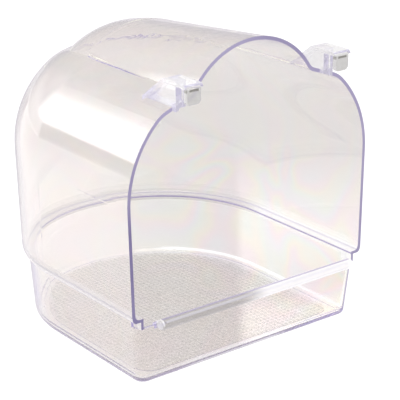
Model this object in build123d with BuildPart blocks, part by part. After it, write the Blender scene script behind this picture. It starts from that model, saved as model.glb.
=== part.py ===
from build123d import *
import os
from math import sqrt, sin, cos, radians, atan2

# Cage-front bird bath house: a clear hood, a shallow tray and two hooks.
# Design frame: X across the opening, Y from the front cut edge to the rounded
# back, Z up. z = 0 lies just below the hood's straight side walls.
# The finished pieces are moved so that the origin is on the underside of the
# tray, at the centre of the half-round back. All sizes are in mm.

# ---- hood ----
WALL = 1.8                 # moulded wall of the hood
AXIS_Y = 80.0              # centre of the half-round back in plan

LOBE_CENTRE = Vector(20.06, 54.1)  # (x, z) centre of a side lobe arc
LOBE_R = 55.84             # outer radius of a side lobe
SIDE_TAPER = 1.3           # degrees, side walls close in downwards

# The valley is a sloping flat between middle and side lobe, given as (x, z)
VALLEY_IN = Vector(37.5, 103.7)    # end at the middle lobe
VALLEY_OUT = Vector(52.4, 98.4)    # end at the side lobe
VALLEY_DIR = (VALLEY_OUT - VALLEY_IN).normalized()
VALLEY_NORMAL = Vector(-VALLEY_DIR.Y, VALLEY_DIR.X)
ROOF_FLAT_Z = VALLEY_IN.Y  # side shell level underneath the middle lobe
KINK_R = 18.0              # softening between valley flat and side lobe

# middle lobe: depth y, outer crest height z, outer radius
CREST = [
    (0.0, 125.25, 43.55),
    (90.0, 116.4, 57.0),
    (99.0, 115.4, 56.0),
    (108.0, 113.5, 53.5),
    (116.0, 110.6, 50.0),
    (124.0, 106.0, 45.5),
    (132.0, 99.6, 40.0),
    (139.0, 90.6, 34.0),
    (144.0, 80.5, 29.0),
]
LOBE_BASE_Z = 70.0         # chord closing each middle lobe section
CREASE_R = 6.5             # hollow rounding between middle lobe and valley
CREASE_END = (104.0, 114.5, 54.5)  # last crease station, columns as in CREST
CREASE_END_SINK = 2.2      # the crease sinks into the skin at its last station

SHOULDER_Z = 1.6           # top of the inward shoulder
SHOULDER_IN = 71.6         # where the shoulder turns level
SHOULDER_T = 1.5           # sideways thickness at that turn
SKIRT_HALF_W = 69.5        # outer half width of the skirt leg
SKIRT_T = 1.4
SKIRT_TOP_Z = -5.0         # level underside that rests on the tray rim
SKIRT_LEDGE_T = 1.6        # thickness above that underside
SKIRT_BOTTOM_Z = -9.2      # foot of the leg beside the opening
SKIRT_TAB_Y = 8.0          # the leg is this long before it shortens
SKIRT_BEAD_Z = -6.2        # foot of the shallow bead round the rest of the rim
CORE_OVERRUN = 5.0         # the inner space runs past the hood in front and below

CUT_W = 200                # trimming boxes, larger than the part they trim
CUT_H = 20

# ---- tray ----
TRAY_RIM_Z = SKIRT_TOP_Z   # top of the side and back walls
TRAY_FRONT_Z = -9.2        # top of the front wall
TRAY_BOTTOM_Z = -40.4
TRAY_FLOOR = 2.0
TRAY_TOP_HALF_W = 71.4
TRAY_BOT_HALF_W = 69.0
TRAY_IN_TOP_HALF_W = 70.1  # leaves play round the skirt leg
TRAY_IN_BOT_HALF_W = 67.2
TRAY_TOP_FRONT_Y = 0.0
TRAY_BOT_FRONT_Y = 2.6
TRAY_FRONT_T = 1.8
TRAY_CORNER_TOP = 5.0
TRAY_CORNER_BOT = 6.0
TRAY_CORNER_INSET = 1.4    # inside corner radii are smaller by this
TRAY_FOOT_R = 3.0          # rounding all round the bottom edge
TRAY_COVE_R = 3.2          # rounding between floor and walls inside
RIM_STEP_Y = 6.0           # the rim drops to the front wall ahead of this

PERCH_R = 2.8
PERCH_HALF_L = 60.5
PERCH_Y = -5.6
PERCH_Z = -6.6
PERCH_WEB_HALF_L = 61.5
PERCH_WEB = [              # (y, z) section of the web from front wall to perch
    (1.2, -12.0),
    (TRAY_FRONT_T + 0.2, TRAY_FRONT_Z),
    (1.2, -7.6),
    (PERCH_Y + 0.9, PERCH_Z + 2.6),
    (PERCH_Y - 0.6, PERCH_Z - 1.2),
    (0.35, -10.6),
]

PAD_T = 0.3                # raised grip area on the tray floor
PAD_HALF_W = 62.0
PAD_FRONT_Y = 9.0
PAD_CORNER = 9.0

# ---- hooks ----
HOOK_X = 46.0              # hook centre off the middle
HOOK_W = 10.4              # top plate width
HOOK_TOP_Z = 113.0
HOOK_PLATE_T = 1.7
HOOK_RAMP_TOP_Y = 4.5
HOOK_TAIL_Y = 21.0
HOOK_TAIL_Z = 100.9
HOOK_TAIL_T = 2.2          # upright thickness of the ramp at the tail
RAMP_UNDER_LEAD = 0.5      # the ramp's underside starts this far ahead of its top
STEM_W = 6.0
STEM_FRONT_Y = -3.0
STEM_BASE_Z = 92           # below the seat, trimmed away
STEM_SINK = 0.3            # stem top lies this far under the plate's upper face
LIP_FRONT_Y = -13.2
LIP_T = 2.2
LIP_W = 8.8
LIP_TOP_Z = HOOK_TOP_Z - 0.4
LIP_BOTTOM_Z = 103.0
LIP_R = 2.5
GROOVE_W = 2.6             # channel between the two ribs of the stem
GROOVE_D = 1.2
GROOVE_L = 30
GROOVE_GAP = 1.0           # from the plate's underside down to the channel
SLOT_W = 5.6               # shallow slot below the top plate, lip front
SLOT_H = 1.2
SLOT_D = 1.0
SLOT_GAP = 0.5             # from the plate's underside down to the slot
SEAT_IN_X = 30             # block that trims the hook's foot to the valley flat
SEAT_OUT_X = 60
SEAT_BASE_Z = 80
SEAT_BACK_L = 60
SEAT_FRONT_L = 30
NOSE_R = 1.6               # rounding along the front top edge of a hook
LIP_SIDE_R = 0.8           # rounding along the upright edges of the lip
NEAR = 0.01                # tolerance for picking edges by place


# ------------------------------------------------------------ hood geometry
# Section points are vectors whose X and Y are the design x and z.

def run_to_circle(start, direction, centre, radius):
    """Point where a line from start, along a unit direction, leaves a circle."""
    offset = start - centre
    along = offset.dot(direction)
    excess = offset.dot(offset) - radius * radius
    return start + direction * (sqrt(along * along - excess) - along)


def side_section(plane, inset, turn_x, level_z, leg_x, foot_z):
    """Half section of the side shell as a face, its skin moved inwards by inset."""
    lobe_r = LOBE_R - inset
    taper = radians(SIDE_TAPER)

    def on_lobe(angle):
        return LOBE_CENTRE + Vector(cos(angle), sin(angle)) * lobe_r

    # side wall, tangent to the lobe
    wall_top = on_lobe(-taper)
    drop = wall_top.Y - SHOULDER_Z
    wall_foot = Vector(wall_top.X - drop * sin(taper) / cos(taper), SHOULDER_Z)
    # valley flat, from the level roof out to the lobe
    flat_start = VALLEY_IN - VALLEY_NORMAL * inset
    flat_out = run_to_circle(flat_start, VALLEY_DIR, LOBE_CENTRE, lobe_r)
    roof_z = ROOF_FLAT_Z - inset
    flat_in = flat_start + VALLEY_DIR * ((roof_z - flat_start.Y) / VALLEY_DIR.Y)
    roof_mid = Vector(0, roof_z)
    from_centre = flat_out - LOBE_CENTRE
    lobe_mid = on_lobe((atan2(from_centre.Y, from_centre.X) - taper) / 2)

    with BuildSketch(plane) as section:
        with BuildLine():
            Line(roof_mid, flat_in)
            Line(flat_in, flat_out)
            ThreePointArc(flat_out, lobe_mid, wall_top)
            Line(wall_top, wall_foot)
            Spline([wall_foot, (turn_x, level_z)], tangents=[(0, -1), (-1, 0)])
            Polyline((turn_x, level_z), (leg_x, level_z), (leg_x, foot_z), (0, foot_z), roof_mid)
        make_face()
        kink = section.vertices().sort_by_distance((flat_out.X, flat_out.Y, 0))[0]
        fillet(kink, KINK_R - inset)
    return section.sketch


def run_forward(first, second):
    """Row on the line through two crest rows, CORE_OVERRUN ahead of the first."""
    share = CORE_OVERRUN / (second[0] - first[0])
    return tuple(a - share * (b - a) for a, b in zip(first, second))


def inset_crest(rows, inset):
    """Middle lobe rows moved inwards, square to the crest line, and run forward."""
    moved = []
    for i, (y, crest, radius) in enumerate(rows):
        before = rows[max(i - 1, 0)]
        after = rows[min(i + 1, len(rows) - 1)]
        slope = atan2(before[1] - after[1], after[0] - before[0])
        moved.append((y - inset * sin(slope), crest - inset * cos(slope), radius - inset))
    moved[0] = run_forward(moved[0], moved[1])
    return moved


def lobe_section(y, crest, radius):
    """Middle lobe section: an arc over a level chord."""
    half_chord = sqrt(radius * radius - (LOBE_BASE_Z - (crest - radius)) ** 2)
    left, right = (-half_chord, LOBE_BASE_Z), (half_chord, LOBE_BASE_Z)
    with BuildSketch(Plane.XZ.offset(-y)) as section:
        with BuildLine():
            ThreePointArc(left, (0, crest), right)
            Line(right, left)
        make_face()
    return section.sketch.face()


def crease_section(row, inset, sink=0.0):
    """Filling between the middle lobe and the valley flat, on the inset skin."""
    y, crest, lobe_r = row
    lobe_centre = Vector(0, crest - lobe_r)
    # hollow arc of CREASE_R, touching the valley flat and the lobe from outside
    centre = run_to_circle(VALLEY_IN + VALLEY_NORMAL * CREASE_R, VALLEY_DIR,
                           lobe_centre, lobe_r + CREASE_R)
    arc_r = CREASE_R + inset
    share = (lobe_r - inset) / (lobe_r + CREASE_R)
    on_lobe = lobe_centre + (centre - lobe_centre) * share
    on_flat = centre - VALLEY_NORMAL * arc_r
    middle = centre - (centre * 2 - on_lobe - on_flat).normalized() * arc_r
    on_lobe, middle, on_flat = [p - Vector(sink, sink) for p in (on_lobe, middle, on_flat)]
    with BuildSketch(Plane.XZ.offset(-y)) as section:
        with BuildLine():
            ThreePointArc(on_lobe, middle, on_flat)
            # closed by a path buried under the skin
            Polyline(on_flat, on_flat - Vector(1.5, 3.0), on_lobe - Vector(4.0, 5.0), on_lobe)
        make_face()
    return section.sketch.face()


def add_hood_solid(lead, inset, crest_rows, first_crease, **skirt):
    """Add side shell, middle lobe and creases as a filled solid to the open part.

    lead is how far the solid starts ahead of the front cut edge."""
    half = side_section(Plane.XZ.offset(lead), inset, **skirt)
    extrude(half, amount=-(AXIS_Y + lead))
    mirror(about=Plane.YZ)
    half = side_section(Plane.XZ.offset(-AXIS_Y), inset, **skirt)
    revolve(half, axis=Axis((0, AXIS_Y, 0), (0, 0, 1)), revolution_arc=180)
    lobes = [lobe_section(*row) for row in crest_rows]
    loft(sections=lobes[:2], ruled=True)
    loft(sections=lobes[1:])
    creases = [
        crease_section(first_crease, inset),
        crease_section(CREST[1], inset),
        crease_section(CREASE_END, inset, CREASE_END_SINK),
    ]
    for i in range(2):
        fill = loft(sections=creases[i:i + 2], ruled=True, mode=Mode.PRIVATE)
        add(fill)
        add(fill.mirror(Plane.YZ))


def make_hood():
    """Clear hood, open at the front."""
    with BuildPart() as core:
        add_hood_solid(
            CORE_OVERRUN, WALL, inset_crest(CREST, WALL), run_forward(CREST[0], CREST[1]),
            turn_x=SHOULDER_IN - SHOULDER_T, level_z=SKIRT_TOP_Z + SKIRT_LEDGE_T,
            leg_x=SKIRT_HALF_W - SKIRT_T, foot_z=SKIRT_BOTTOM_Z - CORE_OVERRUN)
    with BuildPart() as hood:
        add_hood_solid(
            0, 0.0, CREST, CREST[0],
            turn_x=SHOULDER_IN, level_z=SKIRT_TOP_Z,
            leg_x=SKIRT_HALF_W, foot_z=SKIRT_BOTTOM_Z)
        add(core.part, mode=Mode.SUBTRACT)
        # behind the opening the leg shortens to a shallow bead
        with Locations((0, SKIRT_TAB_Y, SKIRT_BEAD_Z)):
            Box(CUT_W, CUT_W, CUT_H, align=(Align.CENTER, Align.MIN, Align.MAX),
                mode=Mode.SUBTRACT)
    return hood.part


# ---------------------------------------------------------------- tray
def d_plan(z, half_w, front_y, corner_r):
    """Plan outline: straight front and sides, half-round back."""
    with BuildSketch(Plane.XY.offset(z)) as plan:
        with BuildLine():
            Line((-half_w, AXIS_Y), (-half_w, front_y))
            Line((-half_w, front_y), (half_w, front_y))
            Line((half_w, front_y), (half_w, AXIS_Y))
            ThreePointArc((half_w, AXIS_Y), (0, AXIS_Y + half_w), (-half_w, AXIS_Y))
        make_face()
        fillet(plan.vertices().group_by(Axis.Y)[0], corner_r)
    return plan.sketch


def make_tray():
    """Tray with a low front wall, a perch ahead of it and a raised grip area."""
    floor_z = TRAY_BOTTOM_Z + TRAY_FLOOR
    with BuildPart() as tray:
        loft(sections=[
            d_plan(TRAY_BOTTOM_Z, TRAY_BOT_HALF_W, TRAY_BOT_FRONT_Y, TRAY_CORNER_BOT),
            d_plan(TRAY_RIM_Z, TRAY_TOP_HALF_W, TRAY_TOP_FRONT_Y, TRAY_CORNER_TOP),
        ], ruled=True)
        fillet(tray.faces().sort_by(Axis.Z)[0].edges(), TRAY_FOOT_R)
        # inside
        loft(sections=[
            d_plan(floor_z, TRAY_IN_BOT_HALF_W, TRAY_BOT_FRONT_Y + TRAY_FRONT_T,
                   TRAY_CORNER_BOT - TRAY_CORNER_INSET),
            d_plan(TRAY_RIM_Z, TRAY_IN_TOP_HALF_W, TRAY_TOP_FRONT_Y + TRAY_FRONT_T,
                   TRAY_CORNER_TOP - TRAY_CORNER_INSET),
        ], ruled=True, mode=Mode.SUBTRACT)
        floor_face = tray.faces().filter_by(Axis.Z).sort_by(Axis.Z)[1]
        fillet(floor_face.edges(), TRAY_COVE_R)
        # front wall stands lower than the sides, with a step behind each corner
        with Locations((0, RIM_STEP_Y, TRAY_FRONT_Z)):
            Box(CUT_W, 20 + RIM_STEP_Y, CUT_H, align=(Align.CENTER, Align.MAX, Align.MIN),
                mode=Mode.SUBTRACT)
        # perch with rounded ends, carried forward of the front wall on a web
        with BuildSketch(Plane.YZ):
            with BuildLine():
                Polyline(*PERCH_WEB, close=True)
            make_face()
        extrude(amount=PERCH_WEB_HALF_L, both=True)
        with Locations((0, PERCH_Y, PERCH_Z)):
            Cylinder(PERCH_R, 2 * PERCH_HALF_L, rotation=(0, 90, 0))
        with Locations((-PERCH_HALF_L, PERCH_Y, PERCH_Z), (PERCH_HALF_L, PERCH_Y, PERCH_Z)):
            Sphere(PERCH_R)
        # raised grip area
        extrude(d_plan(floor_z, PAD_HALF_W, PAD_FRONT_Y, PAD_CORNER), amount=PAD_T)
    return tray.part


# --------------------------------------------------------------- hooks
def flat_z(x):
    """Height of the valley flat at distance x from the middle."""
    return VALLEY_IN.Y + VALLEY_DIR.Y / VALLEY_DIR.X * (x - VALLEY_IN.X)


def make_hook(side):
    """Hook on the valley flat; side is -1 for the left (-X), 1 for the right."""
    centre_x = side * HOOK_X
    middle = Plane.YZ.offset(centre_x)
    plate_under_z = HOOK_TOP_Z - HOOK_PLATE_T
    with BuildPart() as hook:
        # stem and wedge
        with BuildSketch(middle):
            with BuildLine():
                Polyline((STEM_FRONT_Y, STEM_BASE_Z),
                         (STEM_FRONT_Y, HOOK_TOP_Z - STEM_SINK),
                         (HOOK_RAMP_TOP_Y, HOOK_TOP_Z - STEM_SINK),
                         (HOOK_TAIL_Y, HOOK_TAIL_Z - STEM_SINK),
                         (HOOK_TAIL_Y, STEM_BASE_Z), close=True)
            make_face()
        extrude(amount=STEM_W / 2, both=True)
        # top plate with the ramp behind it
        with BuildSketch(middle):
            with BuildLine():
                Polyline((LIP_FRONT_Y, plate_under_z),
                         (LIP_FRONT_Y, HOOK_TOP_Z),
                         (HOOK_RAMP_TOP_Y, HOOK_TOP_Z),
                         (HOOK_TAIL_Y, HOOK_TAIL_Z),
                         (HOOK_TAIL_Y, HOOK_TAIL_Z - HOOK_TAIL_T),
                         (HOOK_RAMP_TOP_Y - RAMP_UNDER_LEAD, plate_under_z), close=True)
            make_face()
        extrude(amount=HOOK_W / 2, both=True)
        # turned-down lip
        with BuildSketch(Plane.XZ.offset(-LIP_FRONT_Y)) as lip:
            with Locations((centre_x, (LIP_TOP_Z + LIP_BOTTOM_Z) / 2)):
                Rectangle(LIP_W, LIP_TOP_Z - LIP_BOTTOM_Z)
            fillet(lip.vertices().group_by(Axis.Y)[0], LIP_R)
        extrude(amount=-LIP_T)
        # channel between the ribs of the stem, slot in the lip
        with Locations((centre_x, STEM_FRONT_Y, plate_under_z - GROOVE_GAP)):
            Box(GROOVE_W, 2 * GROOVE_D, GROOVE_L,
                align=(Align.CENTER, Align.CENTER, Align.MAX), mode=Mode.SUBTRACT)
        with Locations((centre_x, LIP_FRONT_Y, plate_under_z - SLOT_GAP)):
            Box(SLOT_W, 2 * SLOT_D, SLOT_H,
                align=(Align.CENTER, Align.CENTER, Align.MAX), mode=Mode.SUBTRACT)
        # seat on the valley flat, and just under it in front of the cut edge
        for drop, length in ((0, -SEAT_BACK_L), (WALL, SEAT_FRONT_L)):
            with BuildSketch(Plane.XZ):
                with BuildLine():
                    Polyline((side * SEAT_IN_X, flat_z(SEAT_IN_X) - drop),
                             (side * SEAT_OUT_X, flat_z(SEAT_OUT_X) - drop),
                             (side * SEAT_OUT_X, SEAT_BASE_Z),
                             (side * SEAT_IN_X, SEAT_BASE_Z), close=True)
                make_face()
            extrude(amount=length, mode=Mode.SUBTRACT)
        # soften the nose, then the upright edges of the lip
        nose = hook.edges().filter_by(Axis.X).filter_by(
            lambda e: e.center().Y < LIP_FRONT_Y + NEAR and e.center().Z > HOOK_TOP_Z - NEAR)
        fillet(nose, NOSE_R)
        upright = hook.edges().filter_by(Axis.Z).filter_by(
            lambda e: e.center().Y < LIP_FRONT_Y + NEAR
            and abs(abs(e.center().X - centre_x) - LIP_W / 2) < NEAR)
        fillet(upright, LIP_SIDE_R)
    return hook.part


# ------------------------------------------------- finished pieces
forms = {
    "hood": make_hood(),
    "tray": make_tray(),
    "hook_left": make_hook(-1),
    "hook_right": make_hook(1),
}
place = Location((0, -AXIS_Y, -TRAY_BOTTOM_Z))

os.makedirs("parts", exist_ok=True)
for name, form in forms.items():
    with BuildPart() as piece:
        add(form.moved(place))
    piece.part.label = name
    export_step(piece.part, f"parts/{name}.step")
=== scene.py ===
import math

import bmesh
import bpy
from mathutils import Matrix, Vector


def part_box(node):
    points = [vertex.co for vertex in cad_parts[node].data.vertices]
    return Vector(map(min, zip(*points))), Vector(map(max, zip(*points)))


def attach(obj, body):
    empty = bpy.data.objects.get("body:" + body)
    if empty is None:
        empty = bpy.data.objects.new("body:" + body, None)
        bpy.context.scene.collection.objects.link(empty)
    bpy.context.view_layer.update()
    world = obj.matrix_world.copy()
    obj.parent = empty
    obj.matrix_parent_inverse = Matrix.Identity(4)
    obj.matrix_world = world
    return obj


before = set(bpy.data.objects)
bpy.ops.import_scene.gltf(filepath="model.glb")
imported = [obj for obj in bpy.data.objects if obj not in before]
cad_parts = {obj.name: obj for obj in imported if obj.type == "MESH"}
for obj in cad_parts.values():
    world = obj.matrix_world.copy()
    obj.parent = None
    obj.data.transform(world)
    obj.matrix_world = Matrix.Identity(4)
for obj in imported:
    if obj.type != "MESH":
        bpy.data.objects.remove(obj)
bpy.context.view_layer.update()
scene = bpy.context.scene

# ---------------------------------------------------------------- sizes and places
HOOD_LO, HOOD_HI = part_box("hood")
TRAY_LO, TRAY_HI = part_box("tray")
HOOK_LO, HOOK_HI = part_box("hook_left")

# heights on the hood, from the top of the tray
RIM_Z = TRAY_HI.z
LEDGE_BOTTOM = RIM_Z - 0.00015
LEDGE_TOP = RIM_Z + 0.0019
CURVE_TOP = RIM_Z + 0.0055
LEG_TOP = RIM_Z - 0.00105
LEG_BOTTOM = RIM_Z - 0.0060

# the round bar along the tray's front
BAR_BACK = -0.0815
BAR_BOTTOM, BAR_TOP = 0.0285, 0.0365

# the grip pad: straight sides in front of y = 0, a half circle behind it
PAD_RADIUS = 0.062
PAD_FRONT = -0.071
PAD_CORNER = 0.009  # radius of the two front corners
FLOOR_TOP, PAD_TOP = 0.0020, 0.0023

# the grip points: small flat-topped pyramids on a square grid
GRIP_PITCH = 0.0028
GRIP_HEIGHT = 0.00045
GRIP_HALF_BASE = GRIP_PITCH * 0.34
GRIP_TAPER = 0.45  # width of the top over width of the base
GRIP_SINK = 0.00002  # depth of the base below the pad's surface
GRIP_FIRST_ROW = 0.0012  # from the pad's front to the first row
GRIP_MARGIN = 0.0016  # bare strip at the sides

FLOOR_Z = -0.0006
CAMERA_AT = (-0.45748, -0.63393, 0.35114)

# linear RGB
# the deep and pale violet of the painted glow on the cut edges
EDGE_GLOW_DEEP = (0.17, 0.145, 0.29)
EDGE_GLOW_PALE = (0.37, 0.33, 0.50)
WARM_CLEAR = (0.965, 0.935, 0.925)
COOL = (0.62, 0.55, 0.93)


# ---------------------------------------------------------------- shader graphs
def grey(value):
    return (value, value, value)


class Graph:
    """A node tree with short ways to fill it. Colours are RGB, and alpha is always 1."""

    def __init__(self, tree):
        self.tree = tree
        tree.nodes.clear()

    def node(self, kind, inputs=None, **settings):
        """Add a node, link or set its inputs, and return its outputs."""
        new = self.tree.nodes.new(kind)
        for name, value in settings.items():
            setattr(new, name, value)
        for key, value in (inputs or {}).items():
            if isinstance(value, bpy.types.NodeSocket):
                self.tree.links.new(value, new.inputs[key])
            else:
                new.inputs[key].default_value = (*value, 1) if isinstance(value, tuple) else value
        return new.outputs

    def math(self, operation, *values):
        return self.node("ShaderNodeMath", dict(enumerate(values)), operation=operation)[0]

    def add(self, a, b):
        return self.math("ADD", a, b)

    def scaled(self, value, factor, offset):
        return self.math("MULTIPLY_ADD", value, factor, offset)

    def one_minus(self, value):
        return self.math("SUBTRACT", 1.0, value)

    def times(self, first, *others):
        for other in others:
            first = self.math("MULTIPLY", first, other)
        return first

    def largest(self, first, *others):
        for other in others:
            first = self.math("MAXIMUM", first, other)
        return first

    def remap(self, value, start, end, to=(0.0, 1.0), curve="SMOOTHSTEP"):
        """Carry start..end over to the range in `to`, and hold the ends."""
        inputs = {0: value, 1: start, 2: end, 3: to[0], 4: to[1]}
        return self.node("ShaderNodeMapRange", inputs, interpolation_type=curve)[0]

    def above(self, value, edge, soft=0.00015):
        """0 below the edge and 1 above it; the step reaches `soft` to either side."""
        return self.remap(value, edge - soft, edge + soft)

    def below(self, value, edge, soft=0.00015):
        return self.remap(value, edge - soft, edge + soft, to=(1.0, 0.0))

    def band(self, value, rise_start, rise_end, fall_start, fall_end):
        """1 between rise_end and fall_start, and 0 outside the other two."""
        rise = self.remap(value, rise_start, rise_end)
        fall = self.remap(value, fall_start, fall_end, to=(1.0, 0.0))
        return self.times(rise, fall)

    def xyz(self, vector):
        return self.node("ShaderNodeSeparateXYZ", {0: vector})

    def noise(self, coords, **inputs):
        return self.node("ShaderNodeTexNoise", {"Vector": coords["Object"], **inputs})[0]

    def facing(self):
        """1 where the surface faces the ray and 0 where it is edge-on; also the back flag."""
        geometry = self.node("ShaderNodeNewGeometry")
        vectors = {0: geometry["Incoming"], 1: geometry["Normal"]}
        dot = self.node("ShaderNodeVectorMath", vectors, operation="DOT_PRODUCT")["Value"]
        return self.math("ABSOLUTE", dot), geometry["Backfacing"]

    def ramp(self, factor, stops):
        """A colour ramp through (position, colour) stops."""
        output = self.node("ShaderNodeValToRGB", {0: factor})[0]
        elements = output.node.color_ramp.elements
        for element, (position, colour) in zip(elements, (stops[0], stops[-1])):
            element.position = position
            element.color = (*colour, 1)
        for position, colour in stops[1:-1]:
            elements.new(position).color = (*colour, 1)
        return output

    def mix_float(self, factor, a, b):
        return self.node("ShaderNodeMix", {0: factor, 2: a, 3: b}, data_type="FLOAT")[0]

    def mix_colour(self, factor, a, b, blend="MIX"):
        inputs = {0: factor, 6: a, 7: b}
        return self.node("ShaderNodeMix", inputs, data_type="RGBA", blend_type=blend)[2]

    def mix_shader(self, factor, a, b):
        return self.node("ShaderNodeMixShader", {0: factor, 1: a, 2: b})[0]

    def principled(self, inputs):
        return self.node("ShaderNodeBsdfPrincipled", inputs)[0]

    def emission(self, **inputs):
        return self.node("ShaderNodeEmission", inputs)[0]

    def transparent(self, colour):
        return self.node("ShaderNodeBsdfTransparent", {"Color": colour})[0]

    def surface(self, shader, **others):
        self.node("ShaderNodeOutputMaterial", {"Surface": shader, **others})


def new_material(name):
    material = bpy.data.materials.new(name)
    material.use_nodes = True
    return material, Graph(material.node_tree)


# ---------------------------------------------------------------- clear plastic
def clear_body(g, coords, tint, pad):
    """The refracting sheet, with handling haze and very faint bands of moulding stress."""
    haze = g.noise(coords, Scale=160.0, Detail=3.0)
    roughness = g.remap(haze, 0.35, 0.75, to=(0.0, 0.035), curve="LINEAR")
    stress = g.noise(coords, Scale=16.0, Detail=1.5, Distortion=1.2)
    bands_per_unit = 5.0
    hue = g.ramp(g.math("FRACT", g.times(stress, bands_per_unit)), [
        (0.0, (1.0, 0.935, 0.965)),
        (0.25, (1.0, 0.985, 0.91)),
        (0.5, (0.945, 1.0, 0.96)),
        (0.75, (0.95, 0.965, 1.0)),
        (1.0, (1.0, 0.935, 0.965)),
    ])
    # the bands are strongest low on the right
    x, y, z = g.xyz(coords["Object"])
    low_right = g.times(g.above(x, 0.035, soft=0.030), g.below(z, 0.072, soft=0.022))
    strength = g.scaled(low_right, factor=0.62, offset=0.26)
    colour = g.mix_colour(strength, tint, hue, blend="MULTIPLY")
    if pad is not None:
        # the pad is greyer and rougher
        mask = pad(g, coords)
        colour = g.mix_colour(mask, colour, (0.86, 0.85, 0.835), blend="MULTIPLY")
        pad_roughness = 0.22
        roughness = g.add(roughness, g.times(mask, pad_roughness))
    return g.principled({
        "IOR": 1.57,
        "Transmission Weight": 1.0,
        "Base Color": colour,
        "Roughness": roughness,
    })


def painted_edge_glow(g, coords):
    """Painted glow of a cut edge, an emission: deepest at the far left, paler to the right and
    high up.
    """
    streak = g.noise(coords, Scale=30.0, Detail=2.0)
    x, y, z = g.xyz(coords["Object"])
    side = g.above(x, -0.060, soft=0.014)
    high_weight = 0.80
    high = g.times(g.above(z, 0.091, soft=0.012), g.below(x, -0.005, soft=0.020), high_weight)
    paleness = g.scaled(g.add(side, high), factor=0.62, offset=-0.32)
    glow = g.ramp(
        g.scaled(streak, factor=0.9, offset=paleness),
        [(0.0, EDGE_GLOW_DEEP), (1.0, EDGE_GLOW_PALE)],
    )
    return g.principled({
        "Roughness": 0.03,
        "Base Color": g.mix_colour(1.0, glow, grey(0.35), blend="MULTIPLY"),
        "Emission Color": glow,
        "Emission Strength": 0.8,
    })


def painted_light_emission(g, level, painted_shade):
    """Painted light and shade as an emission, from the painted shade colour at level 0 to white
    at level 1.
    """
    return g.principled({
        "Roughness": 0.03,
        "Base Color": grey(0.15),
        "Emission Color": g.ramp(level, [(0.0, painted_shade), (1.0, (1.05, 1.04, 1.05))]),
        "Emission Strength": 0.85,
    })


def clear_plastic(name, tint, absorb, density, edges, light_paint, painted_shade, pad=None):
    """Clear sheet with a cool depth tint, a painted violet glow on its cut edges, and painted
    light and shade.

    edges and pad return a mask; light_paint returns an amount and a brightness level."""
    material, g = new_material(name)
    coords = g.node("ShaderNodeTexCoord")
    shader = clear_body(g, coords, tint, pad)
    # the cut edges get the painted violet glow
    shader = g.mix_shader(edges(g, coords), shader, painted_edge_glow(g, coords))
    # painted light and shade, an emission from the painted shade colour up to white
    amount, level = light_paint(g, coords)
    shader = g.mix_shader(amount, shader, painted_light_emission(g, level, painted_shade))

    # painted shade: where the clear wall is seen along the sheet, an emission paints it as a
    # faint greyish outline
    facing, backfacing = g.facing()
    graze = g.remap(facing, 0.04, 0.29, to=(0.64, 0.0))
    outline = g.times(graze, g.one_minus(backfacing))
    shader = g.mix_shader(outline, shader, g.emission(Color=(0.62, 0.575, 0.65)))

    # light that has run a long way inside the sheet is painted as a glow, an emission: pale
    # violet, or warm near the top
    path = g.node("ShaderNodeLightPath")
    x, y, z = g.xyz(coords["Object"])
    near_top = g.above(z, 0.118, soft=0.006)
    spent = g.mix_colour(near_top, (0.63, 0.60, 0.73), (1.18, 1.185, 0.90))
    bounce_limit = 15.5
    trapped = g.math("GREATER_THAN", path["Ray Depth"], bounce_limit)
    shader = g.mix_shader(trapped, shader, g.emission(Color=spent))

    # shadow rays pass almost freely
    shader = g.mix_shader(path["Is Shadow Ray"], shader, g.transparent((0.97, 0.965, 0.97)))
    depth = g.node("ShaderNodeVolumeAbsorption", {"Color": absorb, "Density": density})[0]
    g.surface(shader, Volume=depth)
    return material


# ---------------------------------------------------------------- hood masks
def hood_front_cut(g, y, normal_y):
    """The cut face that looks to the front."""
    return g.times(g.below(y, HOOD_LO.y + 0.0004), g.below(normal_y, -0.7, soft=0.05))


def hood_edge_glow(g, coords):
    # where the painted violet glow goes: the front cut face and the rim
    x, y, z = g.xyz(coords["Object"])
    normal_x, normal_y, normal_z = g.xyz(coords["Normal"])
    cut = hood_front_cut(g, y, normal_y)
    rim_weight = 0.9
    rim = g.times(
        g.below(z, LEDGE_BOTTOM, soft=0.0001), g.above(z, LEG_TOP, soft=0.0001), rim_weight
    )
    return g.largest(cut, rim)


def hood_light_paint(g, coords):
    """The inward ledge and the foot of the leg get a painted pale band where they catch the
    light.
    """
    x, y, z = g.xyz(coords["Object"])
    ledge = g.times(g.below(z, LEDGE_TOP, soft=0.0003), g.above(z, LEDGE_BOTTOM, soft=0.0001))
    foot = g.times(g.below(z, LEG_TOP, soft=0.0001), g.above(z, LEG_BOTTOM, soft=0.0001))
    band_weight, curve_weight, level_weight = 0.55, 0.14, 0.72
    curve = g.times(
        g.below(z, CURVE_TOP, soft=0.0006), g.above(z, LEDGE_TOP, soft=0.0003), curve_weight
    )
    normal_x, normal_y, normal_z = g.xyz(coords["Normal"])
    cut = hood_front_cut(g, y, normal_y)
    pale = g.largest(g.times(g.largest(ledge, foot), band_weight), curve)
    amount = g.times(pale, g.one_minus(cut))
    # the painted highlight is brightest at the front right
    level = g.times(g.below(y, 0.006, soft=0.014), g.above(x, 0.0, soft=0.02), level_weight)
    return amount, level


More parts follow.
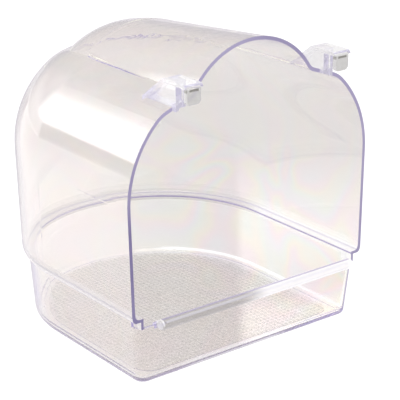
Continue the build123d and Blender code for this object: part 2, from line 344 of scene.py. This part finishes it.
# ---------------------------------------------------------------- tray masks
def tray_edge_glow(g, coords):
    x, y, z = g.xyz(coords["Object"])
    normal_x, normal_y, normal_z = g.xyz(coords["Normal"])
    # painted violet glow on the bottom edge, strongest on the right and kept to the front and the
    # left
    strength = g.scaled(g.above(x, 0.030, soft=0.022), factor=0.80, offset=0.14)
    left_weight = 0.7
    front_or_left = g.largest(
        g.below(y, -0.0700, soft=0.002), g.times(g.below(x, -0.030, soft=0.01), left_weight)
    )
    foot = g.times(g.below(z, 0.0009), g.above(z, 0.0002, soft=0.0001), strength, front_or_left)
    # painted violet glow on the two front corners, where the wall faces diagonally outward
    side_part, front_part = 0.755, -0.656
    turn = g.add(
        g.times(g.math("ABSOLUTE", normal_x), side_part), g.times(normal_y, front_part)
    )
    corner = g.times(
        g.above(turn, 0.80, soft=0.06),
        g.below(y, TRAY_LO.y + 0.0170, soft=0.002),
        g.above(g.math("ABSOLUTE", x), 0.0640, soft=0.001),
        g.above(z, 0.002, soft=0.001),
        g.below(z, 0.0305, soft=0.0004),
    )
    # the painted corner glow shows almost only on the right, and seen along the wall
    facing, _ = g.facing()
    mostly_right = g.times(
        g.scaled(g.above(x, 0.0), factor=0.85, offset=0.03), g.below(facing, 0.50, soft=0.12)
    )
    # painted violet glow along the crest of the round bar
    bar_weight = 0.7
    bar_crest = g.times(
        g.above(z, BAR_TOP - 0.00005, soft=0.00005), g.below(y, BAR_BACK, soft=0.0004), bar_weight
    )
    return g.largest(foot, g.times(corner, mostly_right), bar_crest)


def tray_light_paint(g, coords):
    """Painted light and shade: the round bar is painted grey on its left, with a painted
    highlight along its right half.
    """
    x, y, z = g.xyz(coords["Object"])
    bar = g.times(
        g.below(y, BAR_BACK, soft=0.0004),
        g.above(z, BAR_BOTTOM, soft=0.0006),
        g.below(z, BAR_TOP, soft=0.0001),
    )
    # how much each painted part counts
    line_weight, end_weight, tip_weight = 0.42, 0.45, 0.9
    foot_weight, cove_weight, low_level = 0.5, 0.9, 0.72
    # a painted highlight line just under the top of the bar
    line = g.times(
        g.above(z, 0.0352, soft=0.0002),
        g.below(z, 0.0361, soft=0.0001),
        g.above(x, -0.0600),
        line_weight,
    )
    # the painted highlight takes the right half of the bar
    right = g.above(x, -0.004, soft=0.010)
    # the left tip of the bar: a painted highlight ring, then painted shade on the end itself
    ring = g.times(
        g.below(x, -0.0611, soft=0.0003),
        g.above(x, -0.0619, soft=0.0003),
        g.above(z, 0.0340, soft=0.0008),
    )
    tip = g.largest(ring, g.times(g.below(x, -0.0621, soft=0.0003), end_weight))
    # a painted highlight line in the cove along the right side
    normal_x, normal_y, normal_z = g.xyz(coords["Normal"])
    cove = g.times(
        g.above(z, 0.0029, soft=0.0003),
        g.below(z, 0.0042, soft=0.0003),
        g.above(x, 0.040, soft=0.006),
        g.below(normal_x, -0.25, soft=0.05),
        g.above(normal_z, 0.15, soft=0.05),
    )
    # a painted pale band on the middle of the front foot
    pale_foot = g.times(
        g.below(z, 0.0024, soft=0.0004),
        g.below(y, -0.072, soft=0.003),
        g.above(x, -0.040, soft=0.010),
        g.below(x, 0.022, soft=0.008),
        foot_weight,
    )
    bar_amount = g.times(bar, g.scaled(right, factor=0.05, offset=0.70))
    amount = g.largest(pale_foot, bar_amount, g.times(cove, cove_weight))
    # low down the painted light is paler
    low = g.times(g.below(z, 0.0028, soft=0.0003), low_level)
    return amount, g.largest(right, line, g.times(tip, tip_weight), cove, low)


def grip_pad(g, coords):
    """The top of the raised pad on the tray's floor."""
    x, y, z = g.xyz(coords["Object"])
    rear = g.math("MAXIMUM", y, 0.0)
    radius = g.math("SQRT", g.add(g.times(x, x), g.times(rear, rear)))
    return g.times(
        g.below(radius, PAD_RADIUS),
        g.above(y, PAD_FRONT),
        g.below(z, PAD_TOP + 0.0002),
        g.above(z, FLOOR_TOP + 0.0001, soft=0.0001),
    )


# ---------------------------------------------------------------- hook masks
def hook_edge_glow(g, coords):
    """Painted violet glow at the thin tail of the ramp and at the foot of the stem."""
    x, y, z = g.xyz(coords["Object"])
    tail_weight, foot_weight = 0.55, 0.75
    tail = g.times(g.above(y, HOOK_HI.y - 0.0065, soft=0.0012), tail_weight)
    foot = g.times(
        g.below(z, HOOK_LO.z + 0.0038, soft=0.0008),
        g.below(y, HOOK_HI.y - 0.0205, soft=0.0015),
        foot_weight,
        g.above(y, HOOK_LO.y + 0.0050, soft=0.001),
    )
    return g.largest(tail, foot)


def hook_light_paint(g, coords):
    """Painted light and shade with a fine grain: a painted highlight on top, painted shade on the
    turned-down lip, dark painted shade in its slot.
    """
    x, y, z = g.xyz(coords["Object"])
    normal_x, normal_y, normal_z = g.xyz(coords["Normal"])
    grain = g.noise(coords, Scale=420.0, Detail=3.0)
    lip = g.times(
        g.below(y, HOOK_LO.y + 0.0030, soft=0.0003), g.below(z, HOOK_HI.z - 0.0018, soft=0.0003)
    )
    slot = g.times(
        g.below(y, HOOK_LO.y + 0.0020, soft=0.0002),
        g.below(z, HOOK_HI.z - 0.0020, soft=0.0002),
        g.above(z, HOOK_HI.z - 0.0036, soft=0.0002),
        g.above(y, HOOK_LO.y + 0.0001, soft=0.00005),
    )
    # the top is painted lighter, as if lit from above
    top_face = g.above(normal_z, 0.4, soft=0.25)
    grainy = g.scaled(grain, factor=0.35, offset=0.50)
    level = g.times(
        g.scaled(top_face, factor=0.30, offset=grainy),
        g.scaled(lip, factor=-0.42, offset=1.0),
        g.one_minus(slot),
    )
    slot_amount = 0.9
    amount = g.largest(g.scaled(lip, factor=0.34, offset=0.42), g.times(slot, slot_amount))
    # paint this light only on the outside of the surface
    backfacing = g.node("ShaderNodeNewGeometry")["Backfacing"]
    return g.times(amount, g.one_minus(backfacing)), level


# ---------------------------------------------------------------- materials on the CAD pieces
def dress_pieces():
    hood = clear_plastic(
        "clear_hood", tint=WARM_CLEAR, absorb=COOL, density=8.0,
        edges=hood_edge_glow, light_paint=hood_light_paint, painted_shade=(0.58, 0.55, 0.55),
    )
    tray = clear_plastic(
        "clear_tray", tint=WARM_CLEAR, absorb=COOL, density=8.0,
        edges=tray_edge_glow, light_paint=tray_light_paint, painted_shade=(0.33, 0.31, 0.30), pad=grip_pad,
    )
    hook = clear_plastic(
        "clear_hook", tint=grey(0.97), absorb=(0.66, 0.60, 0.93), density=20.0,
        edges=hook_edge_glow, light_paint=hook_light_paint, painted_shade=(0.16, 0.15, 0.13),
    )
    pieces = {"hood": hood, "tray": tray, "hook_left": hook, "hook_right": hook}
    for name, material in pieces.items():
        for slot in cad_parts[name].material_slots:
            slot.link = "OBJECT"
            slot.material = material


# ---------------------------------------------------------------- grip points on the tray floor
def pad_half_width(y):
    """Half the width of the grid of points at y, inside the pad's outline."""
    half = PAD_RADIUS if y < 0 else math.sqrt(PAD_RADIUS * PAD_RADIUS - y * y)
    if y < PAD_FRONT + PAD_CORNER:
        inset = PAD_FRONT + PAD_CORNER - y
        half = PAD_RADIUS - PAD_CORNER + math.sqrt(PAD_CORNER**2 - inset * inset)
    return half - GRIP_MARGIN


def add_grip_point(bm, x, y):
    def ring(half, z):
        signs = ((-1, -1), (1, -1), (1, 1), (-1, 1))
        return [bm.verts.new((x + sx * half, y + sy * half, z)) for sx, sy in signs]

    base = ring(GRIP_HALF_BASE, PAD_TOP - GRIP_SINK)
    top = ring(GRIP_HALF_BASE * GRIP_TAPER, PAD_TOP + GRIP_HEIGHT)
    bm.faces.new(list(reversed(base)))
    bm.faces.new(top)
    for k in range(4):
        after = (k + 1) % 4
        bm.faces.new((base[k], base[after], top[after], top[k]))


def grip_frost():
    """Mottled grey, mostly see-through."""
    material, g = new_material("grip_frost")
    coords = g.node("ShaderNodeTexCoord")
    mottle = g.noise(coords, Scale=320.0)
    colour = g.ramp(mottle, [(0.0, (0.62, 0.61, 0.60)), (1.0, (0.86, 0.85, 0.84))])
    solid = g.principled({"Base Color": colour, "Roughness": 0.22})
    clearness = 0.905
    g.surface(g.mix_shader(clearness, solid, g.transparent((0.93, 0.925, 0.92))))
    return material


def build_grip_points():
    bm = bmesh.new()
    rows = int((PAD_RADIUS - PAD_FRONT) / GRIP_PITCH)
    for row in range(rows + 1):
        y = PAD_FRONT + GRIP_FIRST_ROW + row * GRIP_PITCH
        half = pad_half_width(y)
        reach = int(half / GRIP_PITCH) + 1
        for column in range(-reach, reach + 1):
            x = column * GRIP_PITCH
            if abs(x) <= half:
                add_grip_point(bm, x, y)
    mesh = bpy.data.meshes.new("grip_points")
    bm.to_mesh(mesh)
    bm.free()
    grip = bpy.data.objects.new("grip_points", mesh)
    scene.collection.objects.link(grip)
    mesh.materials.append(grip_frost())
    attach(grip, "tray")


# ---------------------------------------------------------------- floor
def painted_light_pool(g, across, along, across_zero, along_zero):
    """A painted pool of light on the paper under the right half of the tray."""
    # the ramp starts at this distance along the view and covers this length
    start, length = 0.60, 0.5
    # position on the ramp, brightness
    stops = [
        (0.20, 0.0), (0.28, 0.54), (0.33, 0.52), (0.385, 0.23), (0.43, 0.16),
        (0.56, 0.20), (0.66, 0.15), (0.84, 0.04), (0.94, 0.0),
    ]
    place = g.scaled(along, factor=1 / length, offset=-(along_zero + start) / length)
    profile = g.ramp(place, [(position, grey(value)) for position, value in stops])
    width = g.band(
        across,
        rise_start=across_zero,
        rise_end=across_zero + 0.008,
        fall_start=across_zero + 0.095,
        fall_end=across_zero + 0.14,
    )
    return g.times(width, profile)


def floor_paper():
    """Paper with three looks: evenly white to the camera, and painted light and shade through the
    plastic and to all other rays.
    """
    material, g = new_material("floor_paper")
    diffuse = g.node("ShaderNodeBsdfDiffuse", {"Color": grey(0.16)})[0]
    x, y, z = g.xyz(g.node("ShaderNodeNewGeometry")["Position"])

    # other rays see painted light and shade: brightest at the left, darker to the front and just
    # right of the middle
    away = g.remap(y, -0.9, 0.05, to=(0.30, 1.0))
    leftward = g.remap(x, -0.16, 0.02, to=(1.68, 0.60))
    rightward = g.remap(x, 0.12, 0.35, to=(0.0, 0.30))
    mirrored = g.times(away, g.add(leftward, rightward))

    # through the plastic: laid out along and across a heading from below the camera
    heading = math.radians(38.8)
    sin, cos = math.sin(heading), math.cos(heading)
    camera_x, camera_y = CAMERA_AT[:2]
    across = g.add(g.times(x, cos), g.times(y, -sin))
    along = g.add(g.times(x, sin), g.times(y, cos))
    across_zero = camera_x * cos - camera_y * sin
    along_zero = camera_x * sin + camera_y * cos
    patch = painted_light_pool(g, across, along, across_zero, along_zero)
    # painted shade on the paper seen through the plastic: darker to the right and nearer the
    # camera
    seen = g.remap(x, -0.08, 0.26, to=(0.765, 0.585))
    near = g.remap(along, along_zero + 0.78, along_zero + 0.86, to=(0.915, 1.0))
    # further back the paper is painted a little lighter
    back = g.remap(along, along_zero + 1.12, along_zero + 1.42, to=(1.0, 1.11))
    seen_through = g.add(patch, g.times(seen, back, near))

    path = g.node("ShaderNodeLightPath")
    camera_level = 0.95
    level = g.mix_float(path["Is Transmission Ray"], mirrored, seen_through)
    level = g.mix_float(path["Is Camera Ray"], level, camera_level)
    warmth = g.mix_colour(path["Is Camera Ray"], (1.012, 1.0, 0.985), grey(1))
    light = g.emission(Color=warmth, Strength=level)
    g.surface(g.node("ShaderNodeAddShader", {0: diffuse, 1: light})[0])
    return material


def build_floor():
    bpy.ops.mesh.primitive_plane_add(size=60, location=(0, 0, FLOOR_Z))
    floor = bpy.context.object
    floor.name = "floor"
    floor.data.materials.append(floor_paper())


# ---------------------------------------------------------------- studio surround
def sky_base(g, elevation, y):
    """Soft grey by elevation, dimmed towards the front."""
    # ramp position (0.5 is the horizon, 1 overhead), brightness
    mids = [(0.512, 0.60), (0.60, 0.64), (0.68, 0.82), (0.76, 0.95)]
    warm = [(position, (v * 1.0, v * 0.99, v * 0.975)) for position, v in mids]
    base = g.ramp(
        g.scaled(elevation, factor=1 / 180.0, offset=0.5),
        [(0.5, grey(1.2)), *warm, (1.0, (1.05, 1.04, 1.02))],
    )
    front = g.remap(y, -0.5, 0.2, to=(0.45, 1.0))
    return g.mix_colour(1.0, base, front, blend="MULTIPLY")


def light_box(g, elevation, azimuth):
    """A bright box at the back left, with a wide soft glow round it."""
    box = g.times(
        g.band(azimuth, -67, -58, -29, -17),
        g.band(elevation, 8.5, 12.5, 24, 47),
    )
    glow = g.remap(azimuth, -40, 24, to=(2.4, 0.0))
    # elevation over 90 degrees, brightness
    stops = [(0.0, 0.75), (0.12, 1.0), (0.20, 0.50), (0.38, 0.44), (0.46, 0.24), (0.8, 0.15)]
    fade = g.ramp(
        g.times(elevation, 1 / 90.0), [(position, grey(value)) for position, value in stops]
    )
    soft = g.times(glow, fade, g.band(azimuth, -110, -80, 40, 60))
    # the gap between the light box and the paper
    gap = g.times(g.band(azimuth, -75, -65, -36, -32), g.band(elevation, -8, -3, 9, 11))
    soft = g.times(soft, g.one_minus(gap))
    light = g.scaled(box, factor=4.0, offset=soft)
    # dimmer when seen through the plastic
    transmitted = g.node("ShaderNodeLightPath")["Is Transmission Ray"]
    return g.times(light, g.scaled(transmitted, factor=-0.65, offset=1.0))


def build_world():
    world = bpy.data.worlds.new("studio")
    scene.world = world
    world.use_nodes = True
    g = Graph(world.node_tree)
    x, y, z = g.xyz(g.node("ShaderNodeTexCoord")["Generated"])
    # degrees: azimuth is 0 at the back (+Y) and grows to the right
    degrees = 180 / math.pi
    elevation = g.times(g.math("ARCSINE", z), degrees)
    azimuth = g.times(g.math("ARCTAN2", x, y), degrees)

    light = light_box(g, elevation, azimuth)
    light_colour = g.node("ShaderNodeCombineColor", {0: light, 1: light, 2: light})[0]
    total = g.mix_colour(1.0, sky_base(g, elevation, y), light_colour, blend="ADD")
    # low down, the paper behind the object shows through it
    path = g.node("ShaderNodeLightPath")
    low = g.remap(elevation, 12, 24, to=(1.0, 0.6))
    paper = g.times(low, path["Is Transmission Ray"])
    through = g.mix_colour(paper, total, (0.76, 0.75, 0.74))
    # plain white to the camera
    colour = g.mix_colour(path["Is Camera Ray"], through, grey(1))
    background = g.node("ShaderNodeBackground", {"Color": colour})[0]
    g.node("ShaderNodeOutputWorld", {"Surface": background})


# ---------------------------------------------------------------- light and camera
def add_area_light(name, location, target, size, energy):
    data = bpy.data.lights.new(name, "AREA")
    data.shape = "RECTANGLE"
    data.size, data.size_y = size
    data.energy = energy
    light = bpy.data.objects.new(name, data)
    scene.collection.objects.link(light)
    light.location = location
    light.rotation_mode = "QUATERNION"
    light.rotation_quaternion = (Vector(target) - Vector(location)).to_track_quat("-Z", "Y")


def add_camera():
    data = bpy.data.cameras.new("camera")
    camera = bpy.data.objects.new("camera", data)
    scene.collection.objects.link(camera)
    # radians: yaw from +Y to the right, pitch down, roll about the view
    yaw, pitch, roll = 0.644, 0.359, -0.012
    forward = Vector((
        math.sin(yaw) * math.cos(pitch),
        math.cos(yaw) * math.cos(pitch),
        -math.sin(pitch),
    ))
    right = Vector((math.cos(yaw), -math.sin(yaw), 0))
    up = right.cross(forward)
    rolled_right = math.cos(roll) * right + math.sin(roll) * up
    rolled_up = -math.sin(roll) * right + math.cos(roll) * up
    pose = Matrix((rolled_right, rolled_up, -forward)).transposed().to_4x4()
    pose.translation = Vector(CAMERA_AT)
    camera.matrix_world = pose
    data.sensor_width = 36
    data.lens = 138.591
    data.shift_x = 0.03525
    data.shift_y = 0.00425
    data.clip_start, data.clip_end = 0.01, 100
    scene.camera = camera


def set_render():
    scene.view_settings.view_transform = "Standard"
    # light crosses many clear walls, so the bounce counts are high
    scene.cycles.max_bounces = 40
    scene.cycles.transmission_bounces = 40
    scene.cycles.glossy_bounces = 24
    scene.cycles.diffuse_bounces = 3
    scene.cycles.transparent_max_bounces = 24


dress_pieces()
build_grip_points()
build_floor()
build_world()
add_area_light(
    "key_top", location=(-0.5, -0.6, 1.6), target=(0, 0, 0.05), size=(1.2, 1.2), energy=14
)
add_camera()
set_render()
